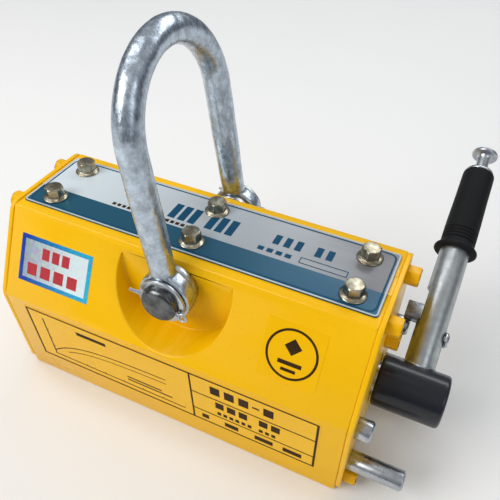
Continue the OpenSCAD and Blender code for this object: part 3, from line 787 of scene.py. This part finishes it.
# end plates: sheared steel with rounded corners, the right one with the bush's hole
endPlate = {"corner": 2.4, "edge": 0.3, "thickness": 1.6, "foot": 2.2, "top": 70.2, "bushGap": 0.05}
foot = endPlate["foot"]
footY = (bodyShape["baseY"] + (bodyShape["creaseY"] - bodyShape["baseY"])
         * foot / bodyShape["creaseZ"])
grooveFootY = bodyShape["grooveY"] * (1 - foot / bodyShape["grooveZ"])
plateSide = [(footY, foot), (bodyShape["creaseY"], bodyShape["creaseZ"]),
             (bodyShape["shoulderY"], endPlate["top"])]
plateOutline = [(-across, height) for across, height in plateSide] + plateSide[::-1]
plateOutline += [(grooveFootY, foot), (0, bodyShape["grooveZ"]), (-grooveFootY, foot)]
roundedOutline = softened(plateOutline, endPlate["corner"])
bushHole = circle(0, handleShape["axisZ"], bodyShape["bushR"] + endPlate["bushGap"])
upright = Matrix(((0, 0, 1, 0), (1, 0, 0, 0), (0, 1, 0, 0), (0, 0, 0, 1)))  # lies flat, then faces the end
plateMiddle = bodyShape["length"] / 2 - endPlate["thickness"] / 2
for side, name, holes in ((-1, "end_plate_left", []), (1, "end_plate_right", [bushHole])):
    place = Matrix.Translation((side * plateMiddle * mm, 0, 0)) @ upright
    plate = flatPiece(name + "_rounded", [roundedOutline] + holes, endPlate["thickness"],
                      endPlate["edge"], place)
    setPiece(plate, "enamel", "body", "paint_yellow", name)
print("end plates made")

# nameplate
nameplateShape = {"corner": 1.3, "edge": 0.12}
low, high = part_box("nameplate")
nameplateBox = (low.x / mm, low.y / mm, high.x / mm, high.y / mm)
nameplate = flatPiece("nameplate_printed", [softened(bar(*nameplateBox), nameplateShape["corner"])],
                      (high.z - low.z) / mm, nameplateShape["edge"],
                      Matrix.Translation((0, 0, (low.z + high.z) / 2)))
setPiece(nameplate, "nameplate", "body", "nameplate", "nameplate")

# shackle: bent rod with forged eyes, grown together and slightly hammered
shackleShape = {"pivotZ": 61.3, "lean": 9.0, "legY": 23.5, "legHeight": 46.1, "rod": 4.22,
                "rodAtEye": 3.9, "taperHeights": (7.6, 12.0, 18.0), "taperLength": 20,
                "legHeights": (28.0, 38.0), "bowSteps": 48, "rodSides": 32,
                "eyeR": 8.65, "eyeIn": 21.2, "eyeOut": 26.7, "eyeRound": 0.9, "eyeSteps": 72,
                "bore": 6.1, "voxel": 0.45, "smoothing": 8, "hammer": 0.16, "hammerSize": 0.006}
onShackle = (Matrix.Translation((0, 0, shackleShape["pivotZ"] * mm))
             @ Matrix.Rotation(-math.radians(shackleShape["lean"]), 4, "Y"))
legY, rod, rodAtEye, bowSteps, rodSides, eyeR, eyeIn, eyeOut, eyeSteps, bore = (
    shackleShape[key] for key in ("legY", "rod", "rodAtEye", "bowSteps", "rodSides",
                                  "eyeR", "eyeIn", "eyeOut", "eyeSteps", "bore"))
taperHeights = shackleShape["taperHeights"]
rodPath = [((0, -legY, height), rodAtEye + (rod - rodAtEye) * (height - taperHeights[0])
            / shackleShape["taperLength"]) for height in taperHeights]
rodPath += [((0, -legY, height), rod) for height in shackleShape["legHeights"]]
leg = rodPath[:]
for step in range(bowSteps + 1):
    angle = math.pi * (1 - step / bowSteps)
    rodPath.append(((0, legY * math.cos(angle), shackleShape["legHeight"] + legY * math.sin(angle)), rod))
rodPath += [((0, legY, point[2]), radius) for point, radius in reversed(leg)]
rodShape = bmesh.new()
rings = []
for index, (point, radius) in enumerate(rodPath):
    ahead = Vector(rodPath[min(index + 1, len(rodPath) - 1)][0])
    behind = Vector(rodPath[max(index - 1, 0)][0])
    sideways = Vector((1, 0, 0))
    outward = (ahead - behind).normalized().cross(sideways)
    rings.append([rodShape.verts.new((Vector(point) + radius * (
        math.cos(turn) * sideways + math.sin(turn) * outward)) * mm)
        for turn in (2 * math.pi * side / rodSides for side in range(rodSides))])
joinRings(rodShape, rings)
rodShape.faces.new(rings[0])
rodShape.faces.new(reversed(rings[-1]))
eyeOutline = softened([(eyeR, eyeOut), (eyeR, eyeIn), (bore, eyeIn), (bore, eyeOut)],
                      shackleShape["eyeRound"])
for side in (-1, 1):
    rings = []
    for turn in (2 * math.pi * step / eyeSteps for step in range(eyeSteps)):
        rings.append([rodShape.verts.new(Vector((radius * math.cos(turn), side * depth,
                                                 radius * math.sin(turn))) * mm)
                      for radius, depth in eyeOutline])
    joinRings(rodShape, rings + rings[:1])
bmesh.ops.recalc_face_normals(rodShape, faces=rodShape.faces)
shackleMesh = bpy.data.meshes.new("shackle_forged")
rodShape.to_mesh(shackleMesh)
rodShape.free()
shackleMesh.transform(onShackle)
shackle = addObject("shackle_forged", shackleMesh)
grown = shackle.modifiers.new("grown together", "REMESH")
grown.mode = "VOXEL"
grown.voxel_size = shackleShape["voxel"] * mm
grown.use_smooth_shade = True
smoothed = shackle.modifiers.new("forged smooth", "SMOOTH")
smoothed.factor = 0.5
smoothed.iterations = shackleShape["smoothing"]
hammerMarks = bpy.data.textures.new("hammerMarks", "CLOUDS")
hammerMarks.noise_scale = shackleShape["hammerSize"]
hammered = shackle.modifiers.new("hammered", "DISPLACE")
hammered.texture = hammerMarks
hammered.texture_coords = "LOCAL"
hammered.strength = shackleShape["hammer"] * mm
hammered.mid_level = 0.7  # mostly dents, few bumps
setPiece(shackle, "shackleZinc", "shackle", "zinc_steel", "shackle")
print("shackle forged")

# split pins: one wire each, looped at the head, with bent legs given as [outward, height]
splitPin = {"y": 29.0, "turn": 107.0, "wire": 0.5, "loop": 1.35, "gap": 0.48, "headHeight": 8,
            "legHeight": 6.2, "loopAngles": range(-20, -341, -16),
            "shortLeg": ((-1.05, -9.3), (-0.55, -7.6), (-0.1, -6.7)),
            "longLeg": ((0.0, -6.9), (-0.18, -8.2), (-0.34, -10.1))}
gap, loop, legHeight = splitPin["gap"], splitPin["loop"], splitPin["legHeight"]
pinWire = [(-gap, outward, height) for outward, height in splitPin["shortLeg"]]
pinWire += [(-gap, 0, -legHeight), (-gap, 0, legHeight)]
pinWire += [(loop * math.sin(turn), 0, splitPin["headHeight"] - loop * math.cos(turn))
            for turn in (math.radians(angle) for angle in splitPin["loopAngles"])]
pinWire += [(gap, 0, legHeight), (gap, 0, -legHeight)]
pinWire += [(gap, outward, height) for outward, height in splitPin["longLeg"]]
for side, name in ((-1, "split_pin_front"), (1, "split_pin_rear")):
    place = (Matrix.Translation((0, side * splitPin["y"] * mm, shackleShape["pivotZ"] * mm))
             @ Matrix.Rotation(math.radians(splitPin["turn"]), 4, "Y"))
    wire = [(x, -side * y, z) for x, y, z in pinWire]
    setPiece(wirePiece(name, wire, splitPin["wire"], place), "turnedSteel", "body", "zinc_steel",
             "split_pins")
print("split pins bent")

# hub: turned and blackened, with a small centre mark in its end
hubShape = {"from": 64.1, "length": 22.4, "r": 8.8, "round": 1.5, "shaft": 6.02, "shaftDepth": 9.9,
            "mark": 1.3, "markDepth": 0.9, "lipDepth": 0.15, "lipWidth": 0.2}
hubR, hubEnd, shaft, mark = (hubShape[key] for key in ("r", "length", "shaft", "mark"))
hubOutline = [(0, hubEnd - hubShape["markDepth"]), (mark, hubEnd - hubShape["lipDepth"])]
hubOutline += softened([(mark + hubShape["lipWidth"], hubEnd), (hubR, hubEnd), (hubR, 0), (shaft, 0)],
                       hubShape["round"], False, 6)
hubOutline += [(shaft, hubShape["shaftDepth"]), (0, hubShape["shaftDepth"])]
hubPlace = (Matrix.Translation((hubShape["from"] * mm, 0, handleShape["axisZ"] * mm))
            @ Matrix.Rotation(math.radians(90), 4, "Y"))
setPiece(turnedPiece("hub_turned", hubOutline, hubPlace, 96), "hubBlack", "handle", "black_paint", "hub")

# grip: moulded rubber with a guard flange and fine rings, as [radius, height]: the end's heights
# run from the grip's top, and the others from its flange
gripShape = {"flange": 53.0, "top": 88.0, "hole": 5.22,
             "end": ((5.35, 0), (5.62, -0.35), (5.7, -1.2), (5.74, -4)),
             "sleeve": ((5.8, 24), (5.92, 18), (6.03, 12)),
             "rings": 4, "ringFrom": 8.2, "ringPitch": 1.35, "ringR": 6.06, "ringDepth": 0.32,
             "ringHalf": 0.45, "ringFloor": 0.2,
             "guard": ((6.1, 3), (6.35, 1.9), (7.2, 1.75), (7.58, 1.2), (7.58, 0.5), (7.1, 0), (5.22, 0)),
             "guardRound": 0.35}
flange, ringR, ringHalf, ringFloor = (
    gripShape[key] for key in ("flange", "ringR", "ringHalf", "ringFloor"))
grooveR = ringR - gripShape["ringDepth"]
gripOutline = [(gripShape["hole"], gripShape["top"])]
gripOutline += [(radius, gripShape["top"] + height) for radius, height in gripShape["end"]]
gripOutline += [(radius, flange + height) for radius, height in gripShape["sleeve"]]
for ring in range(gripShape["rings"]):
    base = flange + gripShape["ringFrom"] - ring * gripShape["ringPitch"]
    gripOutline += [(ringR, base + ringHalf), (grooveR, base + ringFloor),
                    (grooveR, base - ringFloor), (ringR, base - ringHalf)]
gripOutline += softened([(radius, flange + height) for radius, height in gripShape["guard"]],
                        gripShape["guardRound"], False)
gripOutline.append(gripOutline[0])
setPiece(turnedPiece("grip_moulded", gripOutline, onTube, 96, 50), "gripRubber", "handle",
         "grip_rubber", "grip")

# end cap and pull knob, both turned; heights run from the tube's end, and the knob's head from its foot
endCap = {"profile": ((1.67, 2.35), (3.3, 2.38), (4.5, 1.7), (5.2, 0.85), (5.28, 0.02), (3.9, 0.02),
                      (3.9, -3), (1.67, -3)), "round": 0.4}
tubeEnd = handleShape["length"]
capOutline = softened([(radius, tubeEnd + height) for radius, height in endCap["profile"]],
                      endCap["round"])
capOutline.append(capOutline[0])
setPiece(turnedPiece("end_cap_turned", capOutline, onTube), "turnedSteel", "handle", "zinc_steel",
         "end_cap")
pullKnob = {"foot": 8.6, "crown": 2.6, "round": 0.3, "neck": 2.25, "neckTo": 2.5, "rod": 1.6,
            "rodFrom": 29.7,
            "head": ((0.8, 2.58), (1.6, 2.48), (3.2, 2.15), (4.3, 1.68), (4.74, 1.2), (4.74, 0.42),
                     (4.38, 0.02), (2.8, -0.2), (2.25, -1.2))}
knobFoot = tubeEnd + pullKnob["foot"]
knobSide = [(radius, knobFoot + height) for radius, height in pullKnob["head"]]
knobSide += [(pullKnob["neck"], tubeEnd + pullKnob["neckTo"]),
             (pullKnob["rod"], tubeEnd + pullKnob["neckTo"]),
             (pullKnob["rod"], pullKnob["rodFrom"]), (0, pullKnob["rodFrom"])]
knobOutline = [(0, knobFoot + pullKnob["crown"])] + softened(knobSide, pullKnob["round"], False)
setPiece(turnedPiece("pull_knob_turned", knobOutline, onTube), "turnedSteel", "latch", "zinc_steel",
         "pull_knob")

# latch spring: a real coil of fixed length
springShape = {"from": 29.9, "to": 84.8, "turns": 22, "turnSteps": 24, "coil": 2.7, "wire": 0.42,
               "pull": 6.5}
springLength = springShape["to"] - springShape["from"]
coilSteps = springShape["turns"] * springShape["turnSteps"]
springWire = []
for step in range(coilSteps + 1):
    turn = 2 * math.pi * step / springShape["turnSteps"]
    height = (springShape["from"] + springShape["wire"]
              + (springLength - 2 * springShape["wire"]) * step / coilSteps)
    springWire.append((springShape["coil"] * math.cos(turn), springShape["coil"] * math.sin(turn), height))
spring = wirePiece("latch_spring_coil", springWire, springShape["wire"], onTube, 2)
setPiece(spring, "turnedSteel", "handle", "zinc_steel", "latch_spring")
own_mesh(spring)

# weld bead where the tube meets the hub, a little lumpy
weldShape = {"tubeR": 5.2, "bead": 0.42, "points": 72, "lift": 0.1, "lumps": 0.12,
             "lumpStep": 2.1}
weldPoints = []
for across, along in circle(0, 0, weldShape["tubeR"], weldShape["points"]):
    weldPoints.append((across, along, math.sqrt(hubR ** 2 - along ** 2) + weldShape["lift"]))
lumps = [1 + weldShape["lumps"] * math.sin(index * weldShape["lumpStep"])
         for index in range(weldShape["points"])]
bead = wirePiece("weld_bead", weldPoints, weldShape["bead"], onTube, closed=True, swell=lumps,
                 sharpAngle=32)
setPiece(bead, "turnedSteel", "handle", "zinc_steel")
print("handle pieces made")

# printed marks: thin ribbons and bars on three faces
wallSlope = Vector((bodyShape["creaseY"] - bodyShape["baseY"], bodyShape["creaseZ"])).normalized()
shoulderRun = Vector((bodyShape["creaseY"] - bodyShape["shoulderY"],
                      bodyShape["topZ"] - bodyShape["creaseZ"])).normalized()
crease = Vector((0, -bodyShape["creaseY"], bodyShape["creaseZ"]))
alongBody = Vector((1, 0, 0))
faces = {  # corner, along, up, outward
    "top": (Vector((0, 0, high.z / mm)), alongBody, Vector((0, 1, 0)), Vector((0, 0, 1))),
    "shoulder": (crease, alongBody, Vector((0, shoulderRun.x, shoulderRun.y)),
                 Vector((0, -shoulderRun.y, shoulderRun.x))),
    "wall": (crease, alongBody, Vector((0, -wallSlope.x, wallSlope.y)),
             Vector((0, -wallSlope.y, -wallSlope.x))),
}


# blocks side by side, each row as [bottom, top, width, left edges]
def blocks(*rows):
    return [bar(left, bottom, left + width, top)
            for bottom, top, width, lefts in rows for left in lefts]


# a line of the given width as quads between its two edges
def ribbon(points, width, closed=False):
    count = len(points)
    edges = []
    for index in range(count):
        here = Vector(points[index])
        before = Vector(points[index - 1]) if closed or index else None
        after = Vector(points[(index + 1) % count]) if closed or index < count - 1 else None
        directions = [(here - before).normalized()] if before is not None else []
        directions += [(after - here).normalized()] if after is not None else []
        direction = sum(directions, Vector((0, 0))).normalized()
        sideways = Vector((-direction.y, direction.x))
        stretch = 1 / max(0.5, abs(sideways.dot(Vector((-directions[0].y, directions[0].x)))))
        edges.append((here - sideways * width / 2 * stretch, here + sideways * width / 2 * stretch))
    return [[tuple(edges[i][0]), tuple(edges[(i + 1) % count][0]), tuple(edges[(i + 1) % count][1]),
             tuple(edges[i][1])] for i in range(count if closed else count - 1)]


def printMarks(name, face, shapes, material, lift, thickness=0.03, slot="label"):
    corner, along, upwards, outward = faces[face]
    shape = bmesh.new()
    for quad in shapes:
        shape.faces.new([shape.verts.new((corner + along * x + upwards * y + outward * lift) * mm)
                         for x, y in quad])
    bmesh.ops.remove_doubles(shape, verts=shape.verts, dist=mergeGap)
    shape.normal_update()
    for patch in shape.faces:
        if patch.normal.dot(outward) < 0:
            patch.normal_flip()
    mesh = bpy.data.meshes.new(name)
    shape.to_mesh(mesh)
    shape.free()
    piece = addObject(name, mesh)
    ink = piece.modifiers.new("ink film", "SOLIDIFY")
    ink.thickness = thickness * mm
    ink.offset = 1
    return setPiece(piece, material, "body", slot)


# nameplate: outline, band border, and plain blocks where a maker would print
nameplatePrint = {
    "lift": 0.005, "line": 0.55, "inset": 1.3, "corner": 2.4, "rimInset": 0.4, "rimCorner": 1.1,
    "blocks": ((-1.2, 6.4, 2.6, (-13.4, -9.8, -6.2, 0.0, 3.6, 7.2)),
               (1.6, 6.2, 2.1, (22.6, 26.2, 29.8, 36.4, 40.0)),
               (-2.8, -1.0, 2.0, (19.4, 22.4, 25.4, 28.4))),
    "box": (33.3, -3, 48.1, -0.6), "boxLine": 0.3,
    "row": ((-3.75, -2.45, 1.3, (-33.0, -31.1, -29.2, -27.3, -25.4, -23.5, -21.6, -19.7, -17.8)),
            (-3.75, -2.45, 1.5, (-13.0,)), (-3.75, -2.45, 1.3, (-10.9, -9.0, -7.1, -5.2, -3.3)))}
plateLift, line = nameplatePrint["lift"], nameplatePrint["line"]
outline = softened(bar(*nameplateBox, nameplatePrint["inset"]), nameplatePrint["corner"])
rimOutline = softened(bar(*nameplateBox, nameplatePrint["rimInset"]), nameplatePrint["rimCorner"])
blueMarks = ribbon(outline, line, True) + blocks(*nameplatePrint["blocks"])
blueMarks += ribbon(bar(*nameplatePrint["box"]), nameplatePrint["boxLine"], True)
printMarks("nameplate_marks_dark", "top", blueMarks, "inkBlue", plateLift, slot="nameplate")
printMarks("nameplate_marks_row", "top", blocks(*nameplatePrint["row"]), "inkBrown", plateLift,
           slot="nameplate")
printMarks("nameplate_rim", "top", ribbon(rimOutline, line, True), "inkSilver", plateLift,
           slot="nameplate")

# foil sticker: field, coloured border and plain blocks
foilPrint = {"box": (-57.1, 7.3, -28.9, 23.9), "border": 1.5, "fieldLift": 0.01, "field": 0.07,
             "inkLift": 0.085, "ink": 0.02, "upper": (16.8, 20.8, 2.9, (-48.4, -44.4, -40.4)),
             "lower": (10.2, 14.4, 3.9, (-53.8, -48.4, -43.0, -37.6))}
foilInk = (foilPrint["inkLift"], foilPrint["ink"], "foil")
foilField = printMarks("foil_field", "shoulder", [bar(*foilPrint["box"])], "foilField",
                       foilPrint["fieldLift"], foilPrint["field"], "foil")
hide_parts("foil_sticker")
printMarks("foil_border", "shoulder", ribbon(bar(*foilPrint["box"], foilPrint["border"] / 2),
                                             foilPrint["border"], True), "foilBorder", *foilInk)
printMarks("foil_marks_upper", "shoulder", blocks(foilPrint["upper"]), "inkRed", *foilInk)
printMarks("foil_marks_lower", "shoulder", blocks(foilPrint["lower"]), "inkRed", *foilInk)

# load label: frame, cells, a plain curve on axes, and blocks
loadPrint = {"lift": 0.105, "frame": (-54, -30.2, 53.6, -3.4), "frameLine": 0.75, "cellsFrom": 10.2,
             "cellLine": 0.65, "rows": (-13.4, -23.8), "rowLine": 0.55,
             "axes": ((-48, -6.6), (-48, -27.4), (6.8, -27.4)), "axisLine": 0.5,
             "curveFrom": -25.4, "curveRise": 11.5, "curveBend": 11, "curveStep": 1.1, "curveSteps": 45,
             "curveLine": 0.45, "lowerBy": 2.6, "lowerLine": 0.32,
             "ticksX": range(-42, 5, 8), "ticksY": (-12.5, -17.5, -22.5), "tick": 1, "tickLine": 0.25,
             "bars": ((-34, -8.6, -22, -6.8), (-16, -24.6, 2, -23.9), (-16, -22.9, -2, -22.2)),
             "blocks": ((-10.6, -6.2, 3.4, (17.5, 22.5, 27.5, 36.0)), (-8.9, -8.0, 2.4, (32.2,)),
                        (-18.4, -14.8, 3.0, (19.0, 23.2, 27.4, 34.5, 38.7)),
                        (-22.4, -20.6, 1.4, (19.5, 21.7, 23.9, 26.1, 28.3, 30.5, 34.5, 36.7, 38.9)),
                        (-28.4, -25.9, 2.6, (13.4,)), (-28.4, -25.9, 5.0, (22.0,)),
                        (-28.4, -25.9, 6.5, (33.0, 43.0)))}
left, bottom, rightEdge, top = loadPrint["frame"]
cellsFrom, rise, bend, tick, tickLine = (
    loadPrint[key] for key in ("cellsFrom", "curveRise", "curveBend", "tick", "tickLine"))
axisX, axisY = loadPrint["axes"][1]
curve = [(axisX + loadPrint["curveStep"] * step,
          loadPrint["curveFrom"] + rise * (1 - math.exp(-step / bend)))
         for step in range(loadPrint["curveSteps"])]
lowerCurve = [(x, y - loadPrint["lowerBy"]) for x, y in curve[6:]]
wallLines = ribbon([(left, top), (rightEdge, top), (rightEdge, bottom), (left, bottom)],
                   loadPrint["frameLine"], True)
wallLines += ribbon([(cellsFrom, top), (cellsFrom, bottom)], loadPrint["cellLine"])
for height in loadPrint["rows"]:
    wallLines += ribbon([(cellsFrom, height), (rightEdge, height)], loadPrint["rowLine"])
wallLines += ribbon(loadPrint["axes"], loadPrint["axisLine"])
wallLines += ribbon(curve, loadPrint["curveLine"]) + ribbon(lowerCurve, loadPrint["lowerLine"])
for x in loadPrint["ticksX"]:
    wallLines += ribbon([(x, axisY), (x, axisY + tick)], tickLine)
for y in loadPrint["ticksY"]:
    wallLines += ribbon([(axisX, y), (axisX + tick, y)], tickLine)
wallLines += [bar(*box) for box in loadPrint["bars"]] + blocks(*loadPrint["blocks"])
printMarks("load_label_marks", "wall", wallLines, "inkBrown", loadPrint["lift"])

# round pictogram: a plain ring with a diamond over two bars
signPrint = {"lift": 0.105, "middle": (40.9, 16.2), "r": 7.6, "line": 0.75,
             "diamond": ((40.9, 21.2), (38.2, 18.5), (40.9, 15.8), (43.6, 18.5)),
             "bars": ((37.2, 12.6, 44.6, 13.9), (38.6, 10.6, 43.2, 11.6))}
signMarks = ribbon(circle(*signPrint["middle"], signPrint["r"]), signPrint["line"], True)
signMarks += [signPrint["diamond"]] + [bar(*box) for box in signPrint["bars"]]
printMarks("pictogram_marks", "shoulder", signMarks, "inkBrown", signPrint["lift"])
print("marks printed")

floorShape = {"reach": 3, "drop": 0.0002}  # in metres
floorCorners = bar(-floorShape["reach"], -floorShape["reach"], floorShape["reach"], floorShape["reach"])
floorMesh = bpy.data.meshes.new("floor")
floorMesh.from_pydata([(x, y, -floorShape["drop"]) for x, y in floorCorners], [], [(0, 1, 2, 3)])
floorMesh.materials.append(materials["floorPale"])
addObject("floor", floorMesh)

print("scene ready")
